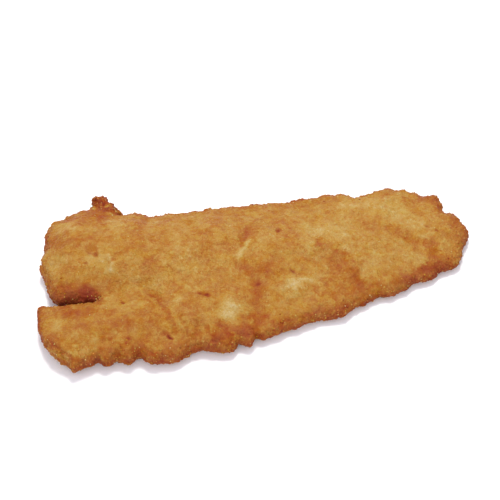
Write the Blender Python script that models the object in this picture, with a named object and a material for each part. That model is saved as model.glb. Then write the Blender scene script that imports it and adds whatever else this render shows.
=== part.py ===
"""Fried fish fillet: one whole fillet in crisp batter, lying on its flat underside.

The thick head end is split by a notch into a round back lobe and a thinner front flap.
The body tapers to a ragged tail. X runs from the head end to the tail, Y from the front
edge to the back edge, Z up, and the origin is under the middle of the fillet.

The fillet is two sheets, top and bottom, that share one closed rim. Both are drawn over
the same plan outline, and heights follow from the distance to that outline and from a few
mounds, creases, blisters and curled corners.
"""

import math

import bmesh
import bpy
import numpy as np
from mathutils import Vector, kdtree, noise
from mathutils.geometry import delaunay_2d_cdt

MM = 0.001

# Driving sizes, in millimetres.
HEAD_RIM_HEIGHT = 12.5  # top of the rim's round edge at the head end
TAIL_RIM_HEIGHT = 8.0  # and at the tail
WAIST_SHARE = 0.42  # height of the widest line, as a share of the rim height
NOTCH_WAIST_SHARE = 0.24  # and where the back lobe's flank leans into the notch
NOTCH_FLANK = (-106.0, -11.0, 16.0)  # middle of that flank, and its reach
TOP_ROUNDING = 6.5  # how far in from the outline the top edge is round
BOTTOM_ROUNDING = 4.5
CROWN_REACH = 17.0  # how far in from the outline the full crown is reached
HEAD_X, TAIL_X = -127.0, 127.0

# Mesh spacing, in millimetres.
FINE_OUTLINE_STEP = 0.5
RIM_SPACING = 2.3
TOP_RINGS = (0.5, 1.9, 4.1, 6.9)  # distances in from the outline
BOTTOM_RINGS = (0.5, 2.2, 5.0)
TOP_GRID = 4.0
BOTTOM_GRID = 7.5
GRID_CLEARANCE = 0.6  # from the last ring to the grid, as a share of the grid spacing
RING_FOLD_LIMIT = 0.93  # a ring point nearer the outline than this share has folded over
RING_CROWDING = 0.44  # nearest two ring points may be, as a share of the rim spacing

# Plan outline in millimetres, counterclockwise from the tail tip.
TAIL_TIP = [
    (127.8, 11.2),
    (125.4, 15.8),
    (123.7, 18.4),
    (123.5, 21.2),
    (122.1, 25.2),
    (119.8, 27.0),
    (116.2, 28.2),
]
TAIL_BACK = [
    (116.8, 36.6),
    (115.5, 44.2),
    (107.5, 46.0),
    (104.2, 48.9),
    (101.6, 49.6),
    (98.0, 53.0),
    (92.5, 53.2),
]
BACK_EDGE = [
    (86.0, 55.7),
    (77.0, 52.2),
    (67.5, 50.0),
    (63.6, 51.8),
    (60.0, 54.2),
    (56.5, 54.3),
    (53.0, 54.0),
    (49.0, 55.0),
    (43.0, 54.0),
    (34.0, 52.8),
    (12.0, 51.2),
    (-12.0, 52.0),
    (-36.0, 50.4),
    (-56.0, 50.0),
    (-61.0, 51.4),
    (-65.5, 53.7),
    (-70.5, 53.2),
    (-75.0, 52.0),
]
SCRAP = [(-74.4, 55.6), (-78.6, 60.2), (-82.0, 66.4), (-87.0, 68.5), (-92.0, 67.8), (-93.0, 60.2)]
BACK_LOBE = [
    (-98.5, 59.8),
    (-107.2, 56.0),
    (-109.8, 53.8),
    (-114.2, 53.3),
    (-118.9, 46.6),
    (-122.0, 35.2),
    (-123.5, 24.0),
    (-125.0, 14.6),
    (-122.7, 9.8),
    (-122.2, 3.0),
    (-119.4, -5.4),
    (-116.6, -8.9),
]
NOTCH = [
    (-112.0, -11.2),
    (-106.0, -12.2),
    (-99.0, -12.2),
    (-94.0, -11.4),
    (-91.6, -12.4),
    (-94.0, -13.6),
    (-99.0, -14.5),
    (-106.0, -14.8),
]
FRONT_LOBE = [
    (-112.0, -13.4),
    (-121.0, -12.9),
    (-128.0, -12.2),
    (-128.4, -23.0),
    (-127.5, -33.2),
    (-124.8, -44.0),
    (-117.8, -52.2),
    (-111.2, -59.3),
    (-103.0, -57.8),
    (-99.6, -55.2),
]
FRONT_EDGE = [
    (-96.8, -54.8),
    (-92.3, -58.3),
    (-87.0, -55.2),
    (-79.8, -58.3),
    (-74.6, -54.4),
    (-70.4, -59.2),
    (-64.5, -60.5),
    (-58.0, -60.5),
    (-50.2, -58.7),
    (-43.4, -54.3),
    (-33.0, -56.4),
    (-28.5, -58.1),
    (-22.8, -57.4),
    (-19.8, -53.5),
    (-16.6, -55.2),
    (-12.4, -54.7),
    (-9.9, -49.8),
    (-5.8, -51.5),
    (-1.0, -50.6),
    (4.0, -48.2),
    (9.0, -46.8),
    (14.6, -46.4),
    (18.6, -44.2),
    (28.0, -42.0),
    (41.0, -41.4),
    (47.0, -37.0),
    (57.0, -33.3),
    (62.6, -30.5),
    (65.0, -29.5),
    (69.5, -30.8),
    (80.0, -26.8),
    (87.0, -22.8),
    (95.5, -20.8),
    (99.8, -18.4),
    (113.0, -13.6),
    (117.6, -8.6),
    (119.9, -0.6),
    (125.4, 6.4),
]

# Scallops of the rim: (wavelength, depth) in millimetres.
SCALLOPS = ((9.0, 0.75), (4.2, 0.4))
NOISE_UNITS = 1.7  # units of noise space in one wavelength

# Mounds that raise the top: a name, a line of (x, y, height), and the half-width.
CROWN_FULLNESS = 0.8  # below 1, the crown fills out nearer the rim
MOUNDS = (
    ("loin", ((-104, 25, 9.0), (-60, 17, 9.5), (0, 9, 8.5), (60, 9, 5.0), (106, 14, 2.0)), 26.0),
    ("flap", ((-106, -34, 2.4), (-78, -36, 4.2), (-40, -34, 3.4), (0, -24, 2.6)), 15.0),
    ("back shoulder", ((70, 42, 0.0), (86, 44, 2.6), (98, 40, 0.0)), 9.0),
)

# Creases that sink the top: a name, a line of (x, y, depth), and the half-width.
CREASES = (
    ("notch valley", ((-92, -12, 5.5), (-82, -12, 4.4), (-74, -11.5, 3.4), (-62, -13, 1.6)), 6.0),
    ("flap fold", ((-64, -13, 1.6), (-57, -22, 1.8), (-53, -35, 1.5), (-52, -47, 0.8)), 3.0),
    ("middle fold", ((-7, 22, 1.4), (-10, 6, 1.9), (-5, -14, 2.0), (-5, -46, 1.6)), 7.0),
    ("tail fold", ((52, 23, 0.8), (76, 15, 1.5), (90, 6, 1.5), (102, -4, 0.9)), 6.0),
    ("back fold", ((-60, 40, 0.6), (-57, 22, 1.2), (-66, 8, 0.7)), 5.0),
    ("front step", ((30, 8, 0.6), (36, -4, 1.0), (52, -24, 1.1)), 5.0),
)

# Blisters in the batter: (x, y, radius, height).
BLISTER_SPREAD = 0.7  # half-width of a blister's bell, as a share of its radius
BLISTERS = (
    (-45, -40, 7.5, 1.6),
    (-30, -43, 7.0, 1.5),
    (-90, -40, 4.5, 0.9),
    (50, -11, 8.0, 1.1),
    (-106, 30, 9.0, 1.0),
    (-22, -33, 9.0, 1.2),
    (18, -22, 8.0, 1.0),
    (104, 22, 7.0, 0.9),
    (-72, 40, 8.0, 0.9),
    (20, 36, 10.0, 1.1),
)

# Places where the whole crust curls up off the table: (x, y, reach, lift).
FLAT_LIFT = 0.35  # the underside stays flat where the lift is less than this
CURLS = (
    (-124, -36, 20.0, 3.6),
    (-87, 69, 10.0, 8.7),
    (125, 24, 18.0, 2.0),
    (-123, 40, 14.0, 1.2),
)

# Places where the fillet is thinner: (x, y, reach, share of the thickness lost).
THIN_SPOTS = (
    (-86, 67, 9.0, 0.62),
    (-128, -26, 18.0, 0.34),
)

# Soft waves of the top: (wavelength, height) in millimetres.
WAVES = ((30.0, 1.3), (13.0, 0.75), (7.0, 0.35))

BATTER_COLOUR = (0.52, 0.25, 0.065, 1.0)
BATTER_ROUGHNESS = 0.55


def clear_scene():
    for obj in list(bpy.data.objects):
        bpy.data.objects.remove(obj, do_unlink=True)


def smooth_step(value):
    t = min(1.0, max(0.0, value))
    return t * t * (3.0 - 2.0 * t)


def quarter_round(distance, rounding):
    """0 at the rim and 1 from `rounding` inwards, along a quarter of an ellipse."""
    t = min(1.0, distance / rounding)
    return math.sqrt(1.0 - (1.0 - t) ** 2)


def spline_through(anchors, steps=24):
    """A closed Catmull-Rom curve through the anchors, as a dense list of 2D points."""
    count = len(anchors)
    points = []
    for i in range(count):
        before, start, end, after = (Vector(anchors[(i + k) % count]) for k in (-1, 0, 1, 2))
        for step in range(steps):
            t = step / steps
            points.append(
                0.5
                * (
                    2.0 * start
                    + (end - before) * t
                    + (2.0 * before - 5.0 * start + 4.0 * end - after) * t**2
                    + (3.0 * start - before - 3.0 * end + after) * t**3
                )
            )
    return points


def evenly_spaced(points, spacing):
    """The closed polyline resampled at close to the given spacing."""
    corners = np.array([tuple(p) for p in points] + [tuple(points[0])])
    along = np.concatenate([[0.0], np.cumsum(np.linalg.norm(np.diff(corners, axis=0), axis=1))])
    count = round(along[-1] / spacing)
    at = np.linspace(0.0, along[-1], count, endpoint=False)
    return np.column_stack([np.interp(at, along, corners[:, k]) for k in (0, 1)])


def inward_normals(loop):
    """Unit normals to the left of a counterclockwise loop, which is its inside."""
    tangent = np.roll(loop, -1, axis=0) - np.roll(loop, 1, axis=0)
    tangent /= np.linalg.norm(tangent, axis=1)[:, None]
    return np.column_stack([-tangent[:, 1], tangent[:, 0]])


def ripple_at(x, y, wavelength):
    """Smooth noise from about -1 to 1 with the given wavelength."""
    return noise.noise(Vector((x, y, wavelength)) * NOISE_UNITS / wavelength)


def scalloped(loop):
    """The outline with the small bulges of a batter rim."""
    inward = inward_normals(loop)
    outward = np.zeros(len(loop))
    for wavelength, depth in SCALLOPS:
        for i, (x, y) in enumerate(loop):
            outward[i] += depth * ripple_at(x, y, wavelength)
    return loop - inward * outward[:, None]


def tree_of(points):
    tree = kdtree.KDTree(len(points))
    for i, (x, y) in enumerate(points):
        tree.insert((x, y, 0.0), i)
    tree.balance()
    return tree


def is_inside(loop, x, y):
    """Whether (x, y) is inside the closed loop, by counting crossings."""
    ax, ay = loop[:, 0], loop[:, 1]
    bx, by = np.roll(ax, -1), np.roll(ay, -1)
    spans = (ay > y) != (by > y)
    crossing = ax[spans] + (y - ay[spans]) * (bx[spans] - ax[spans]) / (by[spans] - ay[spans])
    return np.count_nonzero(crossing > x) % 2 == 1


def line_share(x, y, line):
    """(distance to a polyline of (x, y, value), value at the nearest point)."""
    best_distance, best_value = float("inf"), 0.0
    for (ax, ay, a_value), (bx, by, b_value) in zip(line, line[1:]):
        run_x, run_y = bx - ax, by - ay
        t = ((x - ax) * run_x + (y - ay) * run_y) / (run_x**2 + run_y**2)
        t = min(1.0, max(0.0, t))
        distance = math.hypot(x - ax - t * run_x, y - ay - t * run_y)
        if distance < best_distance:
            best_distance, best_value = distance, a_value + t * (b_value - a_value)
    return best_distance, best_value


def bell(distance, half_width):
    return math.exp(-((distance / half_width) ** 2))


def curl_at(x, y):
    return sum(lift * bell(math.hypot(x - cx, y - cy), reach) for cx, cy, reach, lift in CURLS)


def thinness_at(x, y):
    kept = 1.0
    for cx, cy, reach, lost in THIN_SPOTS:
        kept *= 1.0 - lost * bell(math.hypot(x - cx, y - cy), reach)
    return kept


def rim_height_at(x):
    share = smooth_step((x - HEAD_X) / (TAIL_X - HEAD_X))
    return HEAD_RIM_HEIGHT + (TAIL_RIM_HEIGHT - HEAD_RIM_HEIGHT) * share


def crown_at(x, y):
    """Height of the top above the rim, far from the outline."""
    height = 0.0
    for _, line, half_width in MOUNDS:
        distance, value = line_share(x, y, line)
        height += value * bell(distance, half_width)
    for _, line, half_width in CREASES:
        distance, value = line_share(x, y, line)
        height -= value * bell(distance, half_width)
    for bx, by, radius, value in BLISTERS:
        height += value * bell(math.hypot(x - bx, y - by), radius * BLISTER_SPREAD)
    return height


def waves_at(x, y):
    return sum(size * ripple_at(x, y, wavelength) for wavelength, size in WAVES)


def waist_at(x, y):
    flank_x, flank_y, reach = NOTCH_FLANK
    near = bell(math.hypot(x - flank_x, y - flank_y), reach)
    share = WAIST_SHARE + (NOTCH_WAIST_SHARE - WAIST_SHARE) * near
    return rim_height_at(x) * share * thinness_at(x, y) + curl_at(x, y)


def top_at(x, y, distance):
    flat_top = rim_height_at(x) * thinness_at(x, y) + curl_at(x, y)
    crown = crown_at(x, y) * smooth_step(distance / CROWN_REACH) ** CROWN_FULLNESS
    waist = waist_at(x, y)
    rise = flat_top + crown + waves_at(x, y) * smooth_step(distance / TOP_ROUNDING) - waist
    return waist + rise * quarter_round(distance, TOP_ROUNDING)


def bottom_at(x, y, distance):
    """The underside, which is flat at height 0 except where a curl lifts it."""
    floor = max(0.0, curl_at(x, y) - FLAT_LIFT)
    waist = waist_at(x, y)
    return waist - (waist - floor) * quarter_round(distance, BOTTOM_ROUNDING)


def ring_points(loop, fine_tree, rings):
    """Points at set distances inside the loop, without those that fold over or crowd."""
    kept = []
    crowding = RING_CROWDING * RIM_SPACING
    inward = inward_normals(loop)
    for ring in rings:
        for (x, y), (across_x, across_y) in zip(loop, inward):
            point = (x + across_x * ring, y + across_y * ring)
            folded = fine_tree.find((*point, 0.0))[2] < RING_FOLD_LIMIT * ring
            if not folded and all(math.dist(point, other) > crowding for other in kept):
                kept.append(point)
    return kept


def grid_points(loop, fine_tree, clearance, spacing):
    """A triangular grid over the inside of the loop, clear of the outline."""
    kept = []
    low, high = loop.min(axis=0), loop.max(axis=0)
    row_step = spacing * math.sqrt(3.0) / 2.0
    rows = int((high[1] - low[1]) / row_step) + 1
    columns = int((high[0] - low[0]) / spacing) + 1
    for row in range(rows):
        for column in range(columns):
            x = low[0] + (column + row % 2 / 2.0) * spacing
            y = low[1] + row * row_step
            if fine_tree.find((x, y, 0.0))[2] > clearance and is_inside(loop, x, y):
                kept.append((x, y))
    return kept


def sheet_points(loop, fine_tree, rings, spacing):
    """Plan points of one sheet: the rim loop first, then rings inside it, then a grid."""
    rim = [tuple(point) for point in loop]
    clearance = rings[-1] + GRID_CLEARANCE * spacing
    return rim + ring_points(loop, fine_tree, rings) + grid_points(loop, fine_tree, clearance, spacing)


def triangulated(points, rim_count):
    """Triangles over the plan points, inside the rim loop."""
    rim = [(i, (i + 1) % rim_count) for i in range(rim_count)]
    inside_only, merge_distance = 1, 1e-6
    made = delaunay_2d_cdt([Vector(p) for p in points], rim, [], inside_only, merge_distance)
    faces, sources = made[2], made[3]
    return [tuple(sources[v][0] for v in face) for face in faces]


def add_sheet(mesh, rim_verts, points, fine_tree, height_at):
    """Adds one sheet to the bmesh, joined to the rim vertices that both sheets share."""
    verts = list(rim_verts)
    for x, y in points[len(rim_verts):]:
        distance = fine_tree.find((x, y, 0.0))[2]
        verts.append(mesh.verts.new((x * MM, y * MM, height_at(x, y, distance) * MM)))
    for face in triangulated(points, len(rim_verts)):
        mesh.faces.new([verts[v] for v in face])


def fillet_outline():
    anchors = TAIL_TIP + TAIL_BACK + BACK_EDGE + SCRAP + BACK_LOBE + NOTCH + FRONT_LOBE + FRONT_EDGE
    return scalloped(evenly_spaced(spline_through(anchors), FINE_OUTLINE_STEP))


def centred_on_base(mesh):
    """Moves the mesh so that the origin is under the middle of its box."""
    places = np.array([vert.co for vert in mesh.verts])
    low, high = places.min(axis=0), places.max(axis=0)
    shift = Vector((-(low[0] + high[0]) / 2.0, -(low[1] + high[1]) / 2.0, -low[2]))
    bmesh.ops.translate(mesh, verts=mesh.verts, vec=shift)


def batter_material():
    material = bpy.data.materials.new("fried_batter")
    material.use_nodes = True
    shader = material.node_tree.nodes["Principled BSDF"]
    shader.inputs["Base Color"].default_value = BATTER_COLOUR
    shader.inputs["Roughness"].default_value = BATTER_ROUGHNESS
    shader.inputs["Metallic"].default_value = 0.0
    return material


def build_fillet():
    fine_outline = fillet_outline()
    fine_tree = tree_of(fine_outline)
    rim_loop = evenly_spaced(fine_outline, RIM_SPACING)
    mesh = bmesh.new()
    rim_verts = [mesh.verts.new((x * MM, y * MM, waist_at(x, y) * MM)) for x, y in rim_loop]
    top_points = sheet_points(rim_loop, fine_tree, TOP_RINGS, TOP_GRID)
    bottom_points = sheet_points(rim_loop, fine_tree, BOTTOM_RINGS, BOTTOM_GRID)
    add_sheet(mesh, rim_verts, top_points, fine_tree, top_at)
    add_sheet(mesh, rim_verts, bottom_points, fine_tree, bottom_at)
    bmesh.ops.recalc_face_normals(mesh, faces=mesh.faces)
    centred_on_base(mesh)
    data = bpy.data.meshes.new("fish_fillet")
    mesh.to_mesh(data)
    mesh.free()
    data.shade_smooth()
    data.materials.append(batter_material())
    fillet = bpy.data.objects.new("fish_fillet", data)
    bpy.context.scene.collection.objects.link(fillet)
    return fillet


clear_scene()
build_fillet()
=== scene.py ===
import math

import bmesh
import bpy
import numpy as np
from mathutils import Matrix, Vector, bvhtree, kdtree, noise


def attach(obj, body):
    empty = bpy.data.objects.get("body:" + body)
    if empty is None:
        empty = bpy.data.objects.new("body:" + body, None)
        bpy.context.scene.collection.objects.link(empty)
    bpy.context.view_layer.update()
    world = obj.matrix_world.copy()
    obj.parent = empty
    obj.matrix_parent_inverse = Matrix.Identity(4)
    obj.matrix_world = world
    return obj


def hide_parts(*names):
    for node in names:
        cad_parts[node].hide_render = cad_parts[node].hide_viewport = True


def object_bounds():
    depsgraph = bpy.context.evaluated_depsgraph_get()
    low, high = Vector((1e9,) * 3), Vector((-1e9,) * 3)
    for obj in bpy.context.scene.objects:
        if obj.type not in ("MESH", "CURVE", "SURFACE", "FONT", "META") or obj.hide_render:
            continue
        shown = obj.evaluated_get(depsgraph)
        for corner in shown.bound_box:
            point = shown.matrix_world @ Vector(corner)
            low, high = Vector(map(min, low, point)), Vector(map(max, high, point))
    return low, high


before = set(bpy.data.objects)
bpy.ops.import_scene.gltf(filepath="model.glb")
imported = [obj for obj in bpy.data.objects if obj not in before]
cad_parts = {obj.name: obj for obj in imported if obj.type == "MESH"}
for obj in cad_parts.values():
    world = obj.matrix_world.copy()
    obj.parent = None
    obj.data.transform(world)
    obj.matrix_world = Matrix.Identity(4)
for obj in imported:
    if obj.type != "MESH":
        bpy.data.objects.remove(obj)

# A whole fish fillet in fried batter. The crust is a fine skin over the fillet's solid, with its own
# relief and browning, and crumbs and small frying bubbles are set into its rim.

cadLow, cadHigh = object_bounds()
mm = 0.001
fillet = "fish_fillet"


def addNode(tree, kind, inputs=None, **settings):
    made = tree.nodes.new(kind)
    for name, value in settings.items():
        setattr(made, name, value)
    for key, value in (inputs or {}).items():  # a socket is linked, and anything else is set
        if isinstance(value, bpy.types.NodeSocket):
            tree.links.new(value, made.inputs[key])
        else:
            made.inputs[key].default_value = value
    return made


def calc(tree, operation, *values, clamp=False):
    made = addNode(tree, "ShaderNodeMath", dict(enumerate(values)), operation=operation, use_clamp=clamp)
    return made.outputs[0]


def addInput(tree, name, kind, value=None):
    socket = tree.interface.new_socket(name, in_out="INPUT", socket_type=kind)
    if value is not None:
        socket.default_value = value
    return socket


def addOutput(tree, name, kind):
    return tree.interface.new_socket(name, in_out="OUTPUT", socket_type=kind)


def linear(red, green, blue):  # a colour as seen on screen, 0 to 255, as the shader's own linear values
    def one(value):
        value /= 255
        return value / 12.92 if value <= 0.04045 else ((value + 0.055) / 1.055) ** 2.4
    return (one(red), one(green), one(blue), 1.0)


def smoothMask(tree, value, low, high):  # 0 below low, 1 above high
    limits = {"Value": value, "From Min": low, "From Max": high}
    return addNode(tree, "ShaderNodeMapRange", limits, interpolation_type="SMOOTHSTEP").outputs[0]


def cloudNoise(tree, where, size, seed, detail=1.0, swirl=0.0, kind="FBM"):  # about 0 to 1
    inputs = {
        "Vector": where, "W": seed, "Scale": calc(tree, "DIVIDE", 1.0, size),
        "Detail": detail, "Distortion": swirl,
    }
    return addNode(tree, "ShaderNodeTexNoise", inputs, noise_dimensions="4D", noise_type=kind).outputs[0]


def makeMottleGroup():  # a soft cloud, from about -1 to 1
    tree = bpy.data.node_groups.new("batterMottle", "ShaderNodeTree")
    addInput(tree, "Vector", "NodeSocketVector")
    addInput(tree, "Size", "NodeSocketFloat", 0.006)
    addInput(tree, "Seed", "NodeSocketFloat", 0.0)
    addInput(tree, "Detail", "NodeSocketFloat", 2.0)
    addInput(tree, "Swirl", "NodeSocketFloat", 0.0)
    addOutput(tree, "Mottle", "NodeSocketFloat")
    given = addNode(tree, "NodeGroupInput").outputs
    cloud = cloudNoise(tree, given["Vector"], given["Size"], given["Seed"], given["Detail"], given["Swirl"])
    contrast = 3.0
    centred = calc(tree, "SUBTRACT", cloud, 0.5)
    addNode(tree, "NodeGroupOutput", {"Mottle": calc(tree, "MULTIPLY", centred, contrast)})
    return tree


def makeFleckGroup():  # scattered ragged flecks, 1 inside a fleck
    tree = bpy.data.node_groups.new("batterFlecks", "ShaderNodeTree")
    addInput(tree, "Vector", "NodeSocketVector")
    addInput(tree, "Size", "NodeSocketFloat", 0.0016)
    addInput(tree, "Seed", "NodeSocketFloat", 0.0)
    addInput(tree, "Threshold", "NodeSocketFloat", 0.64)
    addOutput(tree, "Flecks", "NodeSocketFloat")
    given = addNode(tree, "NodeGroupInput").outputs
    softness = 0.07
    cloud = cloudNoise(tree, given["Vector"], given["Size"], given["Seed"], detail=1.0, swirl=1.2)
    full = calc(tree, "ADD", given["Threshold"], softness)
    addNode(tree, "NodeGroupOutput", {"Flecks": smoothMask(tree, cloud, given["Threshold"], full)})
    return tree


def makeToastGroup():  # the colour of batter at a stage of frying, 0 pale to 1 burnt
    tree = bpy.data.node_groups.new("batterToast", "ShaderNodeTree")
    addInput(tree, "Toast", "NodeSocketFloat", 0.4)
    addInput(tree, "Richness", "NodeSocketFloat", 1.0)
    addInput(tree, "Hue", "NodeSocketFloat", 0.5)
    addOutput(tree, "Color", "NodeSocketColor")
    given = addNode(tree, "NodeGroupInput").outputs
    ramp = addNode(tree, "ShaderNodeValToRGB", {"Fac": given["Toast"]})
    stages = (
        (0.00, (186, 166, 124)),
        (0.15, (178, 150, 92)),
        (0.30, (170, 134, 66)),
        (0.42, (164, 118, 48)),
        (0.55, (154, 96, 33)),
        (0.70, (146, 76, 25)),
        (0.85, (134, 59, 23)),
        (1.00, (112, 44, 20)),
    )
    steps = ramp.color_ramp.elements
    steps[0].position, steps[1].position = stages[0][0], stages[-1][0]
    steps[0].color, steps[1].color = linear(*stages[0][1]), linear(*stages[-1][1])
    for place, color in stages[1:-1]:
        steps.new(place).color = linear(*color)
    inputs = {"Hue": given["Hue"], "Saturation": given["Richness"], "Color": ramp.outputs["Color"]}
    rich = addNode(tree, "ShaderNodeHueSaturation", inputs)
    addNode(tree, "NodeGroupOutput", {"Color": rich.outputs["Color"]})
    return tree


def makePlateGroup():  # blotches with a clear edge, each with its own tone and hue, from about -1 to 1
    tree = bpy.data.node_groups.new("batterPlates", "ShaderNodeTree")
    addInput(tree, "Vector", "NodeSocketVector")
    addInput(tree, "Size", "NodeSocketFloat", 0.005)
    addInput(tree, "Wander", "NodeSocketFloat", 0.002)
    addInput(tree, "Seed", "NodeSocketFloat", 0.0)
    addOutput(tree, "Tone", "NodeSocketFloat")
    addOutput(tree, "Hue", "NodeSocketFloat")
    given = addNode(tree, "NodeGroupInput").outputs
    wanderScale = 0.6  # waves of the wander to a blotch
    inputs = {
        "Vector": given["Vector"], "W": given["Seed"], "Detail": 3.0,
        "Scale": calc(tree, "DIVIDE", wanderScale, given["Size"]),
    }
    cloud = addNode(tree, "ShaderNodeTexNoise", inputs, noise_dimensions="4D").outputs["Color"]
    centred = addNode(tree, "ShaderNodeVectorMath", {0: cloud, 1: (0.5, 0.5, 0.5)}, operation="SUBTRACT")
    inputs = {0: centred.outputs[0], "Scale": given["Wander"]}
    shift = addNode(tree, "ShaderNodeVectorMath", inputs, operation="SCALE").outputs[0]
    moved = addNode(tree, "ShaderNodeVectorMath", {0: given["Vector"], 1: shift}, operation="ADD")
    inputs = {
        "Vector": moved.outputs[0], "W": given["Seed"], "Smoothness": 0.25,
        "Scale": calc(tree, "DIVIDE", 1.0, given["Size"]),
    }
    cells = addNode(tree, "ShaderNodeTexVoronoi", inputs, voronoi_dimensions="4D", feature="SMOOTH_F1")
    parts = addNode(tree, "ShaderNodeSeparateColor", {"Color": cells.outputs["Color"]}).outputs
    tone, hue = (calc(tree, "MULTIPLY", calc(tree, "SUBTRACT", parts[i], 0.5), 2.0) for i in (0, 1))
    addNode(tree, "NodeGroupOutput", {"Tone": tone, "Hue": hue})
    return tree


mottleGroup = makeMottleGroup()
fleckGroup = makeFleckGroup()
toastGroup = makeToastGroup()
plateGroup = makePlateGroup()


def mottle(tree, where, size, seed, detail=2.0, swirl=0.0):
    inputs = {"Vector": where, "Size": size, "Seed": seed, "Detail": detail, "Swirl": swirl}
    return addNode(tree, "ShaderNodeGroup", inputs, node_tree=mottleGroup).outputs[0]


def flecks(tree, where, size, seed, threshold):
    inputs = {"Vector": where, "Size": size, "Seed": seed, "Threshold": threshold}
    return addNode(tree, "ShaderNodeGroup", inputs, node_tree=fleckGroup).outputs[0]


def plates(tree, where, size, wander, seed):
    inputs = {"Vector": where, "Size": size, "Wander": wander, "Seed": seed}
    return addNode(tree, "ShaderNodeGroup", inputs, node_tree=plateGroup).outputs


def toasted(tree, toast, richness=1.0, hue=0.5):
    inputs = {"Toast": toast, "Richness": richness, "Hue": hue}
    return addNode(tree, "ShaderNodeGroup", inputs, node_tree=toastGroup).outputs[0]


def mixed(tree, share, first, second):
    return addNode(tree, "ShaderNodeMix", {0: share, 6: first, 7: second}, data_type="RGBA").outputs[2]


def attribute(tree, name):
    return addNode(tree, "ShaderNodeAttribute", attribute_name=name).outputs["Fac"]


batterLook = {
    "cloud": (9 * mm, 0.055, 0.8),  # size, strength and swirl of each layer of browning
    "patch": (4.2 * mm, 0.07, 1.4),
    "grain": (1.6 * mm, 0.07, 0.8),
    "dust": (0.6 * mm, 0.10, 0.0),
    "largePlates": (7 * mm, 6 * mm, 0.045, 0.002),  # size, wander, and change in toast and in hue
    "smallPlates": (2.6 * mm, 3 * mm, 0.05, 0.003),
    "hue": 0.4985,  # 0.5 leaves the browning's own hue
    "rimGain": 0.3,  # how much stronger the layers are on the rim
    "darkFlecks": (1.4 * mm, 0.62, 0.11),  # size, threshold and change in toast
    "paleFlecks": (1.1 * mm, 0.63, -0.16),
    # painted shade: how much the relief's hollows are darkened, standing in for the shade that falls in
    # them
    "cavityShade": 0.08,
    "richness": (4.5 * mm, 0.05),  # size and strength of the clouds of richer colour
    "ember": (124, 45, 24),  # the red of the deepest spots
    "paintedGlint": (228, 162, 84),  # painted highlight: oil shining on crumbs, painted into the base colour
    "paintedGlints": (1.1 * mm, 0.66, 0.6),  # size, threshold and strength of the painted highlight flecks
    "roughness": 0.5,
    "oil": (5 * mm, -0.1),  # size of the oily patches and their change in roughness
    "bump": 0.46 * mm,
    "grit": (1.1 * mm, 0.6),  # size and share of the bump
    "fineGrit": (0.45 * mm, 0.45),
    "specular": 0.12,
    "underlight": (0.08, (1.0, 0.45, 0.15), 1.2 * mm),  # light within the batter: share, colour and reach
}
bubbleLook = {
    "patches": (3 * mm, 0.10),  # size and change in toast
    "richness": 1.1,
    "roughness": 0.4,
    "oil": (1 * mm, 0.05),
    "specular": 0.15,
    "underlight": (0.15, (1.0, 0.5, 0.15), 1 * mm),
}


def startMaterial(name):
    material = bpy.data.materials.new(name)
    material.use_nodes = True
    tree = material.node_tree
    where = addNode(tree, "ShaderNodeTexCoord").outputs["Object"]
    return material, tree, tree.nodes["Principled BSDF"], where


def setFinish(shader, look):  # what is the same all over the surface
    share, color, reach = look["underlight"]
    shader.inputs["Subsurface Weight"].default_value = share
    shader.inputs["Subsurface Radius"].default_value = color
    shader.inputs["Subsurface Scale"].default_value = reach
    shader.inputs["Specular IOR Level"].default_value = look["specular"]


def makeBatterMaterial():
    look = batterLook
    material, tree, shader, where = startMaterial("friedBatter")
    rim = attribute(tree, "rim")
    gain = calc(tree, "MULTIPLY_ADD", rim, look["rimGain"], 1.0)
    # Painted shade: toast rises with the depth of the relief's hollows.
    change = calc(tree, "MULTIPLY", attribute(tree, "cavity"), look["cavityShade"])
    for number, layer in enumerate(("cloud", "patch", "grain", "dust")):
        size, strength, swirl = look[layer]
        clouds = mottle(tree, where, size, number * 3.7, 3.0, swirl)
        change = calc(tree, "MULTIPLY_ADD", clouds, strength, change)
    hue = look["hue"]
    for number, layer in enumerate(("largePlates", "smallPlates")):
        size, wander, strength, tint = look[layer]
        blotches = plates(tree, where, size, wander, 80.0 + number)
        change = calc(tree, "MULTIPLY_ADD", blotches["Tone"], strength, change)
        hue = calc(tree, "MULTIPLY_ADD", blotches["Hue"], tint, hue)
    for number, layer in enumerate(("darkFlecks", "paleFlecks")):
        size, threshold, strength = look[layer]
        specks = flecks(tree, where, size, 50.0 + number, threshold)
        change = calc(tree, "MULTIPLY_ADD", specks, strength, change)
    toast = calc(tree, "MULTIPLY_ADD", change, gain, attribute(tree, "toast"))
    size, strength = look["richness"]
    richness = calc(tree, "MULTIPLY_ADD", mottle(tree, where, size, seed=61.0), strength, 1.0)
    fried = toasted(tree, toast, richness, hue)
    color = mixed(tree, attribute(tree, "ember"), fried, linear(*look["ember"]))
    # Painted highlight: flecks on the rim are mixed toward the glint colour, standing in for oil catching
    # the light.
    size, threshold, strength = look["paintedGlints"]
    specks = flecks(tree, where, size, 71.0, threshold)
    paintedShine = calc(tree, "MULTIPLY", specks, calc(tree, "MULTIPLY", rim, strength))
    tree.links.new(mixed(tree, paintedShine, color, linear(*look["paintedGlint"])), shader.inputs["Base Color"])
    size, strength = look["oil"]
    oil = mottle(tree, where, size, seed=21.0)
    oily = calc(tree, "MULTIPLY_ADD", oil, strength, look["roughness"], clamp=True)
    tree.links.new(oily, shader.inputs["Roughness"])
    size, share = look["grit"]
    grit = calc(tree, "MULTIPLY", mottle(tree, where, size, 31.0, 3.0), share)
    size, share = look["fineGrit"]
    gritty = calc(tree, "MULTIPLY_ADD", mottle(tree, where, size, seed=41.0), share, grit)
    bump = addNode(tree, "ShaderNodeBump", {"Strength": 1.0, "Distance": look["bump"], "Height": gritty})
    tree.links.new(bump.outputs["Normal"], shader.inputs["Normal"])
    setFinish(shader, look)
    return material


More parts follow.
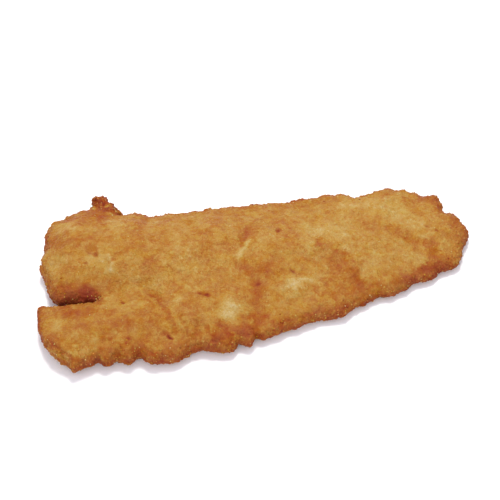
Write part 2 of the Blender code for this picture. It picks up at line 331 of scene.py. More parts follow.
def makeBubbleMaterial():
    look = bubbleLook
    material, tree, shader, where = startMaterial("oilyBubble")
    size, strength = look["patches"]
    patches = mottle(tree, where, size, seed=5.0)
    toast = calc(tree, "MULTIPLY_ADD", patches, strength, attribute(tree, "toast"))
    tree.links.new(toasted(tree, toast, look["richness"]), shader.inputs["Base Color"])
    size, strength = look["oil"]
    oily = calc(tree, "MULTIPLY_ADD", mottle(tree, where, size, seed=8.0), strength, look["roughness"])
    tree.links.new(oily, shader.inputs["Roughness"])
    setFinish(shader, look)
    return material


batterMaterial = makeBatterMaterial()
bubbleMaterial = makeBubbleMaterial()
print("materials ready")


crust = {
    "voxel": 0.55 * mm,  # spacing of the skin's points
    "smoothing": 22,  # rounds that take the steps out of it
    "triangles": 190000,  # of the finished crust
    "topShare": 0.3,  # how readily the top gives up triangles, where the underside is 1
    # how far up the surface faces, 1 being straight up, where each zone starts and is full
    "sideFacing": (0.25, 0.85),
    "topFacing": (0.0, 0.35),
    "underFacing": (-0.7, -0.3),
    "grooveFacing": (0.1, 0.3),
    "outlineFacing": 0.25,
    "brinkFacing": 0.22,
    "toast": 0.395,  # how far the open top is fried
    "sideToast": 0.09,  # more on the rim
    "underToast": 0.16,  # and on the underside
    "edgeToast": 0.08,  # and on the top near the rim
    "edgeReach": 5.0,  # millimetres
    "edgeShare": 0.6,  # how much of the rim's roughness the edge has
    "brinkBrowningAndShade": 0.17,  # and where the rim turns under: a dark band, partly browning and partly painted shade along the outline
    "evening": 30,  # steps that even out the depth that smoothing took
    "warps": ((7.0, 1.8), (2.6, 1.2), (1.1, 0.4)),  # wavelength and size of the wander of spots, in mm
    "warpSeed": 84,  # without a seed, noise_vector takes one from the clock
    "spotFlatness": 1.6,  # how evenly a spot fills its ellipse
    "patches": (4.0, -0.3, 0.1),  # wavelength of the patches that break rings, and where they start and end
    "ringWidth": 0.8,  # millimetres
    "ringShadow": 0.8,  # millimetres outside a ring where its painted shadow lies
    "ringShadowDarkening": 0.10,
    # a groove near the rim: way in, wander, half width, depth, toast and red, in millimetres; its toast and
    # red are painted shade in the groove
    "lip": (2.0, 1.2, 0.7, 0.25, 0.14, 0.12),
    "lipGaps": (15.0, 0.0, 0.3),  # the same for the patches that the groove leaves out
    "markWander": 0.7,  # how much of the wander the pits follow
    "markFlatness": 1.4,  # and a pit or bead
    "calm": (-12, -54, 32, 14, 5),  # a smoother stretch of the front rim: place, half sizes and turn
    "calming": 0.3,
    "scrap": (-83.5, 59, 10, 10, 0),  # the scrap that stands out at the back
    "scrapToast": 0.2,
    "grow": (1.0, 0.2),  # millimetres given back to the rim and the scrap that the relief takes
    "seam": (-93.5, -16, 4.5, 3, 0),  # the inner end of the notch
    "seamFill": 2.0,  # millimetres that close it
    "emberLow": (5.0, 14.0, 0.6),  # millimetres over which the red fades up the flanks, and how far
}

# Spots of the top that fried more, or less where the change is negative:
# x, y, half length, half width and turn in degrees, then the change in toast. Millimetres.
toastSpots = [
    # back lobe
    (-103, 29, 5, 4, 0, -0.10), (-108, 36, 5, 7, 0, -0.12), (-114, 40, 4, 6, 0, -0.10),
    (-115, 8, 5, 8, 0, -0.12), (-120, 14, 3, 14, 0, -0.14), (-103, 8, 8, 5, 0, -0.08),
    (-90, 4, 7, 5, 30, -0.12), (-79, 30, 4, 11, 0, -0.12), (-77, 3, 3, 2, 0, -0.12),
    (-86, -2, 4, 3, 0, -0.13), (-86, 12, 6, 4, 0, -0.08), (-74, -6, 6, 4, 0, -0.05),
    (-112, 26, 7, 4, 10, 0.11), (-109, 20, 7, 3, -20, 0.09), (-98, 21, 7, 3, 0, 0.07),
    (-97, 35, 5, 4, 0, 0.08), (-105, 45, 6, 4, 0, 0.17), (-90, 47, 9, 6, 0, 0.16),
    (-86, 40, 4, 4, 0, 0.06), (-71, 37, 5, 5, 0, 0.05), (-66, 26, 2.5, 9, 0, 0.12),
    (-62, 36, 3, 8, 0, 0.09), (-67, 15, 4, 6, 0, 0.07), (-61, 0, 5, 3, 0, 0.10),
    (-99, -12.5, 6, 3.5, 0, 0.22), (-113, -10, 7, 4, 0, 0.10), (-104, -9, 7, 3, 0, 0.10),
    (-104, -16, 9, 2.5, 0, 0.05), (-110, -7, 6, 3, -15, 0.08), (-94, -19, 6, 3.5, 0, -0.12),
    (-96, -6, 4, 3, 0, 0.07), (-87, -9, 5, 3, 0, 0.06), (-105, -21, 4, 2, 0, -0.06),
    (-104, 42, 5, 3, 0, 0.08), (-103, 53, 9, 3, 0, 0.14), (-81, 50, 6, 3, 0, 0.14),
    (-63, 47, 5, 3, 0, 0.12), (-97, 18, 3, 3, 0, 0.05), (-98, 1, 4, 2, 0, 0.04),
    (-115, -5, 4, 2, 0, 0.07), (-98, 30, 4, 3, 0, -0.07), (-103, 16, 4, 3, 0, -0.04),
    # On the scrap, the two spots paled by 0.40 and 0.35 are painted highlights, glints of oil on it.
    (-88.5, 59, 2, 2.5, 0, 0.25), (-84.5, 57, 1.5, 2, 0, 0.22), (-82.5, 54.5, 1.5, 2, 0, -0.40),
    (-91.5, 56, 1.4, 3, 0, -0.35), (-86, 64, 3, 1.2, 0, -0.12),
    # front flap
    (-116, -36, 7, 5, 60, -0.14), (-88, -25, 5, 4, 0, -0.12), (-103, -56, 6, 4, 0, -0.08),
    (-80, -28, 5, 6, 0, -0.06), (-72, -27, 4, 4, 0, -0.07), (-114, -57, 4, 4, 0, -0.12),
    (-112, -26, 5, 4, -40, 0.15), (-108, -31, 5, 4, 0, 0.15), (-102, -29, 5, 5, 0, 0.13),
    (-96, -27, 3, 5, 0, 0.09), (-101, -41, 6, 3, 0, 0.08), (-92, -40, 3, 2, 0, 0.13),
    (-118, -46, 5, 4, -40, 0.08), (-127.8, -29, 1.4, 10, 0, 0.22), (-110, -53, 6, 3, 0, 0.05),
    (-84, -42, 3, 3, 0, 0.07), (-79, -43, 3, 8, 0, 0.10), (-66, -46, 6, 5, 0, 0.11),
    (-79, -53, 3, 2.5, 0, 0.14), (-73, -53, 6, 3, 0, 0.06), (-65, -37, 4, 4, 0, 0.06),
    (-66, -24, 5, 5, 0, 0.06), (-61, -58, 5, 5, 0, 0.05), (-90, -38, 26, 14, 0, 0.055),
    (-112, -34, 3, 3, 0, 0.06), (-110, -55, 3, 2, 0, 0.06), (-104, -52, 4, 2, 0, 0.05),
    (-71, -20, 4, 3, 0, 0.05), (-90, -41, 4, 3, 0, -0.09), (-75, -37, 4, 4, 0, -0.07),
    (-120, -52, 3, 6, 30, -0.05), (-86, -57, 9, 3, 0, 0.01),
    # middle
    (-25, -22, 10, 8, 0, 0.03), (-46, 3, 10, 9, 0, -0.08), (-50, -12, 7, 7, 0, -0.05),
    (-30, -6, 9, 4, 0, -0.06), (-49, -28, 3, 4, 0, -0.07), (-37, -21, 5, 2, -15, -0.10),
    (-45, -3, 6, 5, 0, -0.07), (-55, 20, 4, 5, 0, -0.07), (-38, -14, 5, 3, 0, -0.04),
    (-52, -23, 3, 3, 0, -0.07), (-49, -28, 3, 3, 0, -0.06), (-31, -30, 3, 2, 0, 0.05),
    (-53, -32, 5, 3, 0, 0.05), (-31, -43, 5, 4, 0, -0.08), (-34, -48, 1.2, 3, 0, -0.10),
    (-10, -40, 4, 3, 0, -0.08), (-12, -11, 3, 3, 0, 0.06), (-1, -48, 3, 3, 0, 0.10),
    (-43, -33, 7, 3, 0, 0.05), (-24, -54, 9, 3, 0, 0.08), (-42, 17, 8, 6, 0, -0.04),
    (-22, -40.5, 5.5, 7, 0, -0.26), (-20, -34, 4, 6, 0, -0.09), (-27, -38, 2, 5, 0, -0.05),
    (18, -24.8, 9, 3.2, 10, -0.25), (15, -30, 8, 4, 0, -0.12), (25, -21, 5, 3, 0, -0.12),
    (33, -20, 4, 2.5, 0, -0.08), (31, 0, 2, 4, -20, -0.14), (19, -4, 8, 4, 0, -0.06),
    (30, 5, 5, 4, 0, -0.10), (50, 3, 6, 5, 0, -0.07), (55, 20, 5, 5, 0, -0.08),
    (26, -15, 3, 3, 0, -0.07), (28, -25, 4, 3, 0, -0.06), (36, -20, 4, 3, 0, -0.07),
    (8, 6, 4, 3, 0, -0.05), (37, -42, 4, 2, 0, 0.10), (8, 12, 7, 5, 0, -0.11), (3, 5, 4, 4, 0, -0.05),
    (46, 12, 10, 8, 0, -0.17), (33, 15, 7, 6, 0, -0.09), (55, 32, 5, 8, 0, -0.09),
    (38, 22, 12, 7, 0, -0.06), (58, 10, 6, 6, 0, -0.06), (2, -43, 1.5, 1.5, 0, -0.12),
    (3, -33, 3, 5, 0, -0.05), (-50, -21, 6, 2, 10, 0.05), (-44, -37, 8, 5, 0, 0.06),
    (-28, -53, 7, 6, 0, 0.13), (-14, -52, 6, 4, 0, 0.15), (-21, -12, 4, 5, 0, 0.06),
    (-11, -7, 4, 4, 0, 0.12), (-7, -13, 4, 5, 0, 0.13), (3, -14, 6, 5, 0, 0.15),
    (-5, -25, 4, 7, 0, 0.13), (-7, -33, 3, 4, 0, 0.08), (-6, -44, 5, 6, 0, 0.20),
    (14, -16, 5, 3, 0, 0.04), (46, -13, 6.5, 6, 0, 0.20), (47, -5, 4, 2, 0, 0.08),
    (53, -18, 3.5, 7, -10, 0.10), (54, -29, 4, 6, 0, 0.15), (46, -31, 6, 5, 0, 0.10),
    (36, 3, 2, 5, -10, 0.15), (62, -30, 8, 3, 0, 0.05), (33, -43, 6, 2.5, 0, 0.08),
    (44, -22, 3, 4, 0, 0.05), (35, -28, 3, 7, 0, 0.09),
    # tail
    (92, 22, 34, 24, 0, -0.03), (68, -6, 26, 14, 0, -0.03), (123, 24, 3, 5, 0, 0.06),
    (126, 6, 2.5, 8, 0, 0.06), (117, 36, 4, 3, -40, 0.10), (108, 44, 8, 2.5, -30, 0.10),
    (86, 54, 12, 2.5, -8, 0.08), (61, -19, 5, 6, 0, -0.08), (70, -16, 5, 4, 0, -0.06),
    (76, 46, 8, 4, 0, -0.14), (92, 15, 4, 4, 0, -0.06), (60, -3, 6, 3, 0, -0.04),
    (74, -8, 4, 4, 0, -0.08), (83, -12, 4, 4, 0, -0.12), (93, -12, 5, 4, 0, -0.12),
    (66, 38, 9, 8, 0, -0.14), (78, 36, 6, 7, 0, -0.12), (88, 28, 8, 9, 0, -0.15),
    (97, 14, 6, 7, 0, -0.14), (92, 41, 8, 5, 0, -0.08), (84, -3, 7, 3, 0, -0.05),
    (100, 4, 4, 2, 0, -0.12), (64, 10, 5, 5, 0, -0.05), (117, -6, 3, 6, 0, -0.12),
    (110, 10, 5, 5, 0, -0.06), (110, -4, 4, 4, 0, -0.05), (68, 16, 3, 6, 0, 0.03),
    (76, 22, 2, 4, 0, 0.06), (84, 8, 8, 5, -20, 0.08), (114, 19, 4, 5, 0, 0.09),
    (117, 8, 3, 5, 0, 0.07), (95, -1, 5, 3, 0, 0.12), (103, -4, 3, 5, 0, 0.14),
    (101, -13, 3, 6, 0, 0.15), (95, -21, 8, 3, 0, 0.20), (82, -26, 8, 3, 0, 0.16),
    (75, -5, 1.5, 3, 0, 0.08), (101, 31, 6, 5, 0, 0.09), (110, 37, 6, 4, 0, 0.15),
    (113, 29, 3, 6, 0, 0.14), (120, 14, 3, 7, 0, 0.17), (107, -19, 8, 2.5, 0, 0.14),
    (124, 8, 3, 5, 0, 0.10), (103, 20, 3, 5, 0, 0.05),
]

# The same for its flanks.
flankSpots = [
    (-118, -52, 10, 6, -45, -0.18), (-108, -60, 5, 3, 0, -0.08), (-120, 14, 5, 14, 0, -0.05),
    (-103, -11, 12, 3, 0, -0.05), (88, -24, 30, 5, 18, 0.04), (-80, -59, 20, 5, 0, -0.035),
    (-50, -59, 18, 5, 0, -0.04), (12, -47.5, 24, 5, 18, -0.05), (122, 4, 6, 14, 0, -0.08),
]

# Where the outline stands out further, or less where the change is negative: x, y, radius and change.
nudges = [
    (-109.8, -61.3, 1.8, 0.9), (-106.5, -62, 2.0, -0.8), (-113, -58.8, 2.4, -1.4),
    (-103.5, -62, 2.0, -0.9), (-99.5, -60, 1.8, 1.1), (-122, -46.5, 2.6, -1.7),
    (-118, -52.5, 2.2, 1.0), (-126, -41, 2.0, -0.6), (-13, -53, 2.5, -0.8), (61, 38.5, 4, 1.2),
    (-90, 52, 4, -0.6),
]

# Where the crust turned red, mostly low on its flanks: x, y, half length, half width, turn, strength.
emberSpots = [
    (-97, -12, 4.6, 3.2, 0, 1.2), (-107, -13, 9, 3, 0, 1.1), (-96, -7.5, 4, 3, 0, 0.15),
    (-95.5, 10, 2.2, 1.4, 0, 0.35), (-4, -22, 4, 6, 0, 0.2), (-6, -46, 6, 4, 0, 0.15),
    (-15, -53, 8, 3, 0, 0.1), (-75, -57, 10, 2.5, 0, 0.15), (55, -30, 4, 5, 0, 0.3),
    (100, -19, 12, 3, 10, 0.6), (80, -28, 10, 3, 10, 0.4), (120, -10, 4, 5, 0, 0.2),
    (34, -43, 12, 2.5, 0, 0.15), (-40, -55, 12, 2, 0, 0.2),
]

# Burst bubbles, and beads where the rise is positive:
# x, y, half length, half width, turn in degrees, then the rise, the change in toast and the redness.
marks = [
    (-91.5, 8.7, 1.3, 1.7, 0, -0.35, 0.18, 0.5), (-95.5, 10, 1.8, 1.0, 0, -0.35, 0.10, 0.25),
    (-98, 3.8, 1.5, 1.0, -20, -0.35, 0.15, 0.6), (-80.3, -24.5, 0.9, 1.3, 0, -0.35, 0.25, 0.6),
    (-57, -53, 1.9, 0.9, -50, -0.4, 0.60, 0.6), (-59.5, -50.5, 1.6, 1.2, 0, -0.2, 0.15, 0.2),
    (-37, -25.4, 1.9, 1.2, -15, -0.3, 0.24, 0.35), (-33.4, -27.2, 2.3, 1.5, -15, -0.4, 0.42, 0.7),
    (14.6, 15.6, 1.6, 2.2, 0, -0.35, 0.30, 0.4), (18, -16, 1.0, 2.6, 35, -0.35, 0.04, 0.7),
    (107.6, 6.6, 1.1, 1.5, 20, -0.35, 0.25, 0.7), (102.4, 11.5, 0.9, 1.1, 0, -0.25, 0.12, 0.3),
    (-3.5, -22, 1.2, 1.6, 15, -0.3, 0.16, 0.2), (75, -5, 0.8, 1.6, 0, -0.35, 0.10, 0.1),
    (96, -16, 1.0, 0.8, 0, -0.3, 0.20, 0.3), (-79, -52, 1.0, 0.8, 0, -0.2, 0.15, 0.2),
    (-14.5, -55, 1.8, 1.2, 0, -0.4, 0.10, 0.4), (-12, -51, 1.2, 1.2, 0, -0.3, 0.08, 0.3),
    # The bead at (-77, 51) is paled partly as its own colour and partly as a painted highlight of oil on
    # it.
    (-77, 51, 0.9, 0.9, 0, 0.4, -0.55, 0), (-39, -42, 0.7, 0.9, 0, 0.3, -0.16, 0),
    (-47.5, -46.5, 0.8, 0.6, 0, 0.3, -0.16, 0), (-21.5, -54, 1.2, 0.7, 0, 0.3, -0.20, 0),
    (-39, -56.3, 0.8, 0.6, 0, 0.3, -0.20, 0), (-30, -58.5, 0.7, 0.6, 0, 0.3, -0.22, 0),
    (-11.5, -48.5, 0.8, 0.9, 0, 0.3, -0.14, 0), (-85, 3.5, 1.2, 1.1, 0, 0.3, -0.14, 0),
    (-82, 1, 1.6, 1.2, 0, 0.3, -0.12, 0),
]

# Folds and thin ridges of batter: half width, height, change in toast, and the line's points. Millimetres.
# Where the height is negative, the added toast darkens the crease, partly browning and partly painted
# shade.
folds = [
    (1.3, -0.25, 0.14, [(-64, -19), (-60, -23), (-57, -32), (-55, -41), (-54, -50)]),
    (1.6, 0.4, -0.05, [(-62, -15), (-58, -17), (-55, -25), (-52.5, -34), (-51, -45)]),
    (2.0, 0.4, -0.25, [(-11.5, -3), (-8, 3), (-4, 8)]),
    (0.9, 0.2, -0.12, [(-90, 8), (-86, 6.5), (-83, 2), (-84, -3)]),
    (1.8, -0.5, 0.18, [(-9, 6), (-6, 12), (-3, 19)]),
    (0.8, 0.3, 0.06, [(-37, -11), (-29, -9), (-24, -9), (-20, -11)]),
    (0.9, 0.3, 0.05, [(44, -4), (52, -8), (56, -16), (52, -22)]),
    (1.2, 0.45, 0.04, [(79, 34), (88, 39), (98, 38)]),
    (1.0, -0.4, 0.14, [(-49.5, -41), (-48, -46), (-46.5, -52), (-44, -54.5), (-41, -52.5), (-40, -46)]),
    (1.1, -0.4, 0.14, [(-37, -48), (-35, -52), (-32.5, -55.5), (-28, -57)]),
    (0.9, -0.35, 0.12, [(-30, -45), (-27.5, -49), (-25, -51)]),
    (1.3, 0.5, 0.10, [(-113, -22), (-108, -21), (-103, -20)]),
    (0.8, 0.25, -0.12, [(-40, -22.5), (-36, -21.5), (-32.5, -23)]),
    (0.6, 0.2, -0.10, [(-41.5, -40), (-42.5, -36), (-41.5, -34)]),
]

# Blisters, whose thin wall shows as a raised ring with a painted shadow beside it: x, y, radius, height of
# the ring. Millimetres.
blisters = [
    (-89, -46, 4.0, 0.35), (35, -28, 6.0, 0.3),
    (-46, -3, 4.5, 0.2), (47, -13, 6.5, 0.3), (-69, -31, 5.0, 0.25), (95, -9, 5.0, 0.25),
    (-108, 18, 5.5, 0.25), (-22, 14, 6.5, 0.2), (88, 36, 6.0, 0.25), (-84, 38, 5.0, 0.2),
]


def finishedObject(name, mesh):
    made = bpy.data.objects.new(name, mesh)
    bpy.context.scene.collection.objects.link(made)
    return made


def applied(obj):  # the object's mesh as its modifiers make it, and the modifiers gone
    graph = bpy.context.evaluated_depsgraph_get()
    mesh = bpy.data.meshes.new_from_object(obj.evaluated_get(graph), depsgraph=graph)
    obj.modifiers.clear()
    old = obj.data
    obj.data = mesh
    bpy.data.meshes.remove(old)
    return obj


def smoothStep(low, high, values):
    t = np.clip((values - low) / (high - low), 0, 1)
    return t * t * (3 - 2 * t)


def makeSkin():  # a fine even mesh over the fillet's solid
    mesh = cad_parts[fillet].data.copy()
    edit = bmesh.new()
    edit.from_mesh(mesh)
    bmesh.ops.remove_doubles(edit, verts=edit.verts, dist=0.01 * mm)
    edit.to_mesh(mesh)
    edit.free()
    mesh.materials.clear()
    skin = finishedObject("crust", mesh)
    even = skin.modifiers.new("even", "REMESH")
    even.mode, even.voxel_size, even.use_smooth_shade = "VOXEL", crust["voxel"], True
    soften = skin.modifiers.new("soften", "SMOOTH")
    soften.factor, soften.iterations = 0.5, crust["smoothing"]
    return applied(skin)


def thinSkin(skin):  # gives up small triangles, most of them on the flat underside
    mesh = skin.data
    under = np.empty(len(mesh.vertices))
    mesh.attributes["under"].data.foreach_get("value", under)
    group = skin.vertex_groups.new(name="thin")
    for share in (crust["topShare"], 1.0):
        chosen = np.flatnonzero((under > 0.5) == (share == 1.0))
        group.add([int(i) for i in chosen], share, "REPLACE")
    now = sum(len(face.vertices) - 2 for face in mesh.polygons)
    thin = skin.modifiers.new("thin", "DECIMATE")
    thin.ratio, thin.vertex_group = crust["triangles"] / now, group.name
    applied(skin)
    skin.vertex_groups.clear()


def turned(places, x, y, length, width, degrees):  # squared distance in units of the spot's own ellipse
    c, s = math.cos(math.radians(degrees)), math.sin(math.radians(degrees))
    dx, dy = places[:, 0] - x, places[:, 1] - y
    return ((dx * c + dy * s) / length) ** 2 + ((dy * c - dx * s) / width) ** 2


def spot(places, ellipse, flatness=1):  # 1 in the middle of an ellipse, and fading past its edge
    return np.exp(-turned(places, *ellipse) ** flatness)


def ridge(away, halfWidth):  # 1 on a line, and fading on both sides
    return np.exp(-((away / halfWidth) ** 2))


def lineDistance(places, points):
    nearest = np.full(len(places), 1e9)
    for (ax, ay), (bx, by) in zip(points, points[1:]):
        run = np.array((bx - ax, by - ay), float)
        along = np.clip(((places - (ax, ay)) @ run) / (run @ run), 0, 1)
        nearest = np.minimum(nearest, np.linalg.norm(places - (ax, ay) - along[:, None] * run, axis=1))
    return nearest


def rimDistance(flat, sides):  # millimetres from the outline, seen from above
    tree = kdtree.KDTree(int(sides.sum()))
    for i, (x, y) in enumerate(flat[sides]):
        tree.insert((x, y, 0), i)
    tree.balance()
    return np.array([tree.find((x, y, 0))[2] for x, y in flat])


def lostDepth(mesh):  # millimetres that smoothing took from the solid, evened out along the skin
    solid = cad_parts[fillet].data
    tree = bvhtree.BVHTree.FromPolygons(
        [vert.co.copy() for vert in solid.vertices], [face.vertices[:] for face in solid.polygons]
    )
    lost = [(tree.find_nearest(vert.co)[0] - vert.co).dot(vert.normal) for vert in mesh.vertices]
    lost = np.array(lost) / mm
    ends = np.empty(len(mesh.edges) * 2, int)
    mesh.edges.foreach_get("vertices", ends)
    starts, stops = ends.reshape(-1, 2).T
    neighbours = np.bincount(ends, minlength=len(lost))
    for _ in range(crust["evening"]):
        around = np.bincount(starts, lost[stops], len(lost)) + np.bincount(stops, lost[starts], len(lost))
        lost = (lost + around / neighbours) / 2
    return lost


def setAttribute(mesh, name, values):
    made = mesh.attributes.new(name, "FLOAT", "POINT")
    made.data.foreach_set("value", np.asarray(values, np.float32))


def wanderAt(places):  # a small sideways shift, so that no spot keeps a clean outline
    noise.seed_set(crust["warpSeed"])
    shift = np.zeros((len(places), 2))
    for number, (wavelength, size) in enumerate(crust["warps"]):
        away = Vector((0, 0, 40 * number))
        shift += np.array([noise.noise_vector(Vector(p) / wavelength + away)[:2] for p in places]) * size
    return shift


def noiseAt(places, wavelength):
    return np.array([noise.noise(Vector(p) / wavelength) for p in places])


def paintSkin(skin):  # stores where the crust is browned, red, rough, raised and sunk
    mesh = skin.data
    count = len(mesh.vertices)
    places = np.empty(count * 3)
    mesh.vertices.foreach_get("co", places)
    places = places.reshape(-1, 3) / mm
    normals = np.empty(count * 3)
    mesh.vertex_normals.foreach_get("vector", normals)
    up = normals.reshape(-1, 3)[:, 2]
    plan = places[:, :2]
    flat = plan + wanderAt(places)
    closer = plan + crust["markWander"] * (flat - plan)  # pits keep more of their own outline
    side = 1 - smoothStep(*crust["sideFacing"], up)
    under = 1 - smoothStep(*crust["underFacing"], up)
    top = smoothStep(*crust["topFacing"], up)
    inward = rimDistance(plan, np.abs(up) < crust["outlineFacing"])
    edge = ridge(inward, crust["edgeReach"])
    toast = crust["toast"] + crust["underToast"] * under
    toast += (crust["sideToast"] * side + crust["edgeToast"] * edge) * (1 - under)
    # Where the surface faces sideways it is darkened, partly browning and partly painted shade along the
    # outline.
    toast += crust["brinkBrowningAndShade"] * ridge(up, crust["brinkFacing"])
    rim = np.clip(side * (1 - under) + crust["edgeShare"] * edge * top, 0, 1)
    calm = spot(plan, crust["calm"], 2)
    scrap = spot(plan, crust["scrap"], 3)
    seam = spot(plan, crust["seam"], 2)
    rimGrow, scrapGrow = crust["grow"]
    height = lostDepth(mesh) + rimGrow * (rim + scrapGrow * scrap) + crust["seamFill"] * seam
    ember = np.zeros(count)
    for *ellipse, change in toastSpots:
        toast += change * top * spot(flat, ellipse, crust["spotFlatness"])
    for *ellipse, change in emberSpots:
        ember += change * (1 - under) * spot(flat, ellipse)
    for *ellipse, change in flankSpots:
        toast += change * side * (1 - under) * spot(flat, ellipse)
    for x, y, radius, change in nudges:
        height += change * side * spot(plan, (x, y, radius, radius, 0))
    low, high, fade = crust["emberLow"]
    ember *= 1 - fade * smoothStep(low, high, places[:, 2])
    # In the sunk creases the added toast is partly browning and partly painted shade.
    for halfWidth, rise, change, points in folds:
        share = top * ridge(lineDistance(flat, points), halfWidth)
        height += rise * share
        toast += change * share
    wavelength, start, end = crust["patches"]
    patchy = noiseAt(places, wavelength)
    broken = smoothStep(start, end, patchy)
    # Painted shadow: the toast just outside each ring wall darkens it like the shadow the wall would cast.
    for x, y, radius, rise in blisters:
        away = np.sqrt(turned(flat, x, y, 1, 1, 0)) - radius
        height += rise * broken * top * ridge(away, crust["ringWidth"])
        toast += crust["ringShadowDarkening"] * broken * top * ridge(away - crust["ringShadow"], crust["ringWidth"])
    wayIn, wander, halfWidth, depth, change, red = crust["lip"]
    groove = ridge(inward - wayIn - wander * patchy, halfWidth) * smoothStep(*crust["grooveFacing"], up)
    wavelength, start, end = crust["lipGaps"]
    groove *= smoothStep(start, end, noiseAt(places, wavelength))
    height -= depth * groove
    # Painted shade: besides being sunk, the groove is darkened and reddened.
    toast += change * groove
    ember += red * groove
    for *ellipse, rise, change, red in marks:
        share = top * spot(closer, ellipse, crust["markFlatness"])
        height += rise * share
        ember += red * share
        toast += change * share
    toast += crust["scrapToast"] * scrap
    setAttribute(mesh, "toast", toast)
    setAttribute(mesh, "ember", np.clip(ember, 0, 1))
    setAttribute(mesh, "rim", rim * (1 - crust["calming"] * calm) + scrap)
    setAttribute(mesh, "under", under)
    setAttribute(mesh, "relief", height * mm)


relief = {  # the size and the height of each layer
    "Swell Size": 13 * mm, "Swell Height": 0.7 * mm,
    "Puff Size": 5.5 * mm, "Puff Height": 0.42 * mm,
    "Lobe Size": 5.5 * mm, "Lobe Height": 0.9 * mm,
    "Strata Size": 4.5 * mm, "Strata Height": 0.6 * mm,
    "Wrinkle Size": 4.5 * mm, "Wrinkle Height": 0.5 * mm,
    "Pebble Size": 2.4 * mm, "Pebble Height": 0.3 * mm,
    "Grit Size": 1.2 * mm, "Grit Height": 0.34 * mm,
    "Rim Gain": 1.3, "Sink": 0.12 * mm, "Seed": 4.0,
}


def named(tree, name):
    return addNode(tree, "GeometryNodeInputNamedAttribute", {"Name": name}, data_type="FLOAT").outputs[0]


def alongNormal(tree, height):
    inputs = {0: addNode(tree, "GeometryNodeInputNormal").outputs[0], "Scale": height}
    return addNode(tree, "ShaderNodeVectorMath", inputs, operation="SCALE").outputs[0]


def makeReliefTree():
    tree = bpy.data.node_groups.new("crustRelief", "GeometryNodeTree")
    addInput(tree, "Geometry", "NodeSocketGeometry")
    for name, value in relief.items():
        addInput(tree, name, "NodeSocketFloat", value)
    addInput(tree, "Material", "NodeSocketMaterial")
    addOutput(tree, "Geometry", "NodeSocketGeometry")
    given = addNode(tree, "NodeGroupInput").outputs
    where = addNode(tree, "GeometryNodeInputPosition").outputs[0]

    def rough(name, seed):  # a cloud of this size and height
        contrast = 2.6
        cloud = cloudNoise(tree, where, given[name + " Size"], calc(tree, "ADD", given["Seed"], seed))
        centred = calc(tree, "MULTIPLY", calc(tree, "SUBTRACT", cloud, 0.5), contrast)
        return calc(tree, "MULTIPLY", centred, given[name + " Height"])

    def ridged(name, seed, places, swirl):  # sharp crests over soft valleys
        seed = calc(tree, "ADD", given["Seed"], seed)
        crests = cloudNoise(tree, places, given[name + " Size"], seed, 2.0, swirl, "RIDGED_MULTIFRACTAL")
        valley = 0.6
        return calc(tree, "MULTIPLY", calc(tree, "SUBTRACT", crests, valley), given[name + " Height"])

    def bulges(name, seed, feature, **settings):  # rounded cells that meet in creases
        inputs = {
            "Vector": where, "W": calc(tree, "ADD", given["Seed"], seed),
            "Scale": calc(tree, "DIVIDE", 1.0, given[name + " Size"]), **settings,
        }
        cells = addNode(tree, "ShaderNodeTexVoronoi", inputs, voronoi_dimensions="4D", feature=feature)
        away = cells.outputs["Distance"]
        crown = 0.45
        fallen = calc(tree, "SUBTRACT", crown, calc(tree, "MULTIPLY", away, away))
        return calc(tree, "MULTIPLY", fallen, given[name + " Height"])

    rim = named(tree, "rim")
    small = calc(tree, "ADD", bulges("Puff", 0.0, "SMOOTH_F1", Smoothness=0.4), rough("Pebble", 1.0))
    wrinkled = calc(tree, "ADD", rough("Grit", 2.0), ridged("Wrinkle", 12.0, where, 0.8))
    small = calc(tree, "ADD", small, wrinkled)
    small = calc(tree, "MULTIPLY", small, calc(tree, "MULTIPLY_ADD", rim, given["Rim Gain"], 1.0))
    lobes = calc(tree, "MULTIPLY", bulges("Lobe", 5.0, "F1"), rim)
    layered = (1.0, 1.0, 4.5)  # strata are thinner than they are long
    layers = addNode(tree, "ShaderNodeVectorMath", {0: where, 1: layered}, operation="MULTIPLY").outputs[0]
    lobes = calc(tree, "MULTIPLY_ADD", ridged("Strata", 16.0, layers, 0.6), rim, lobes)
    textured = calc(tree, "ADD", small, lobes)
    height = calc(tree, "ADD", textured, rough("Swell", 8.0))
    height = calc(tree, "ADD", height, calc(tree, "SUBTRACT", named(tree, "relief"), given["Sink"]))
    # cavity is how far the relief sinks below its crown; the batter's colour darkens with it as painted
    # shade
    depth = calc(tree, "DIVIDE", calc(tree, "MULTIPLY", textured, -1.0), given["Pebble Height"])
    cavity = calc(tree, "MINIMUM", calc(tree, "MAXIMUM", depth, -1.0), 1.0)
    stored = addNode(
        tree, "GeometryNodeStoreNamedAttribute",
        {"Geometry": given["Geometry"], "Name": "cavity", "Value": cavity},
        data_type="FLOAT", domain="POINT",
    )
    inputs = {"Geometry": stored.outputs[0], "Offset": alongNormal(tree, height)}
    moved = addNode(tree, "GeometryNodeSetPosition", inputs)
    inputs = {"Geometry": moved.outputs[0], "Material": given["Material"]}
    finished = addNode(tree, "GeometryNodeSetMaterial", inputs)
    addNode(tree, "NodeGroupOutput", {"Geometry": finished.outputs[0]})
    return tree


def runTree(obj, tree, values):  # sets a tree's inputs on a modifier and applies it
    modifier = obj.modifiers.new(tree.name, "NODES")
    modifier.node_group = tree
    for item in tree.interface.items_tree:
        if item.item_type == "SOCKET" and item.in_out == "INPUT" and item.name in values:
            modifier[item.identifier] = values[item.name]
    return applied(obj)


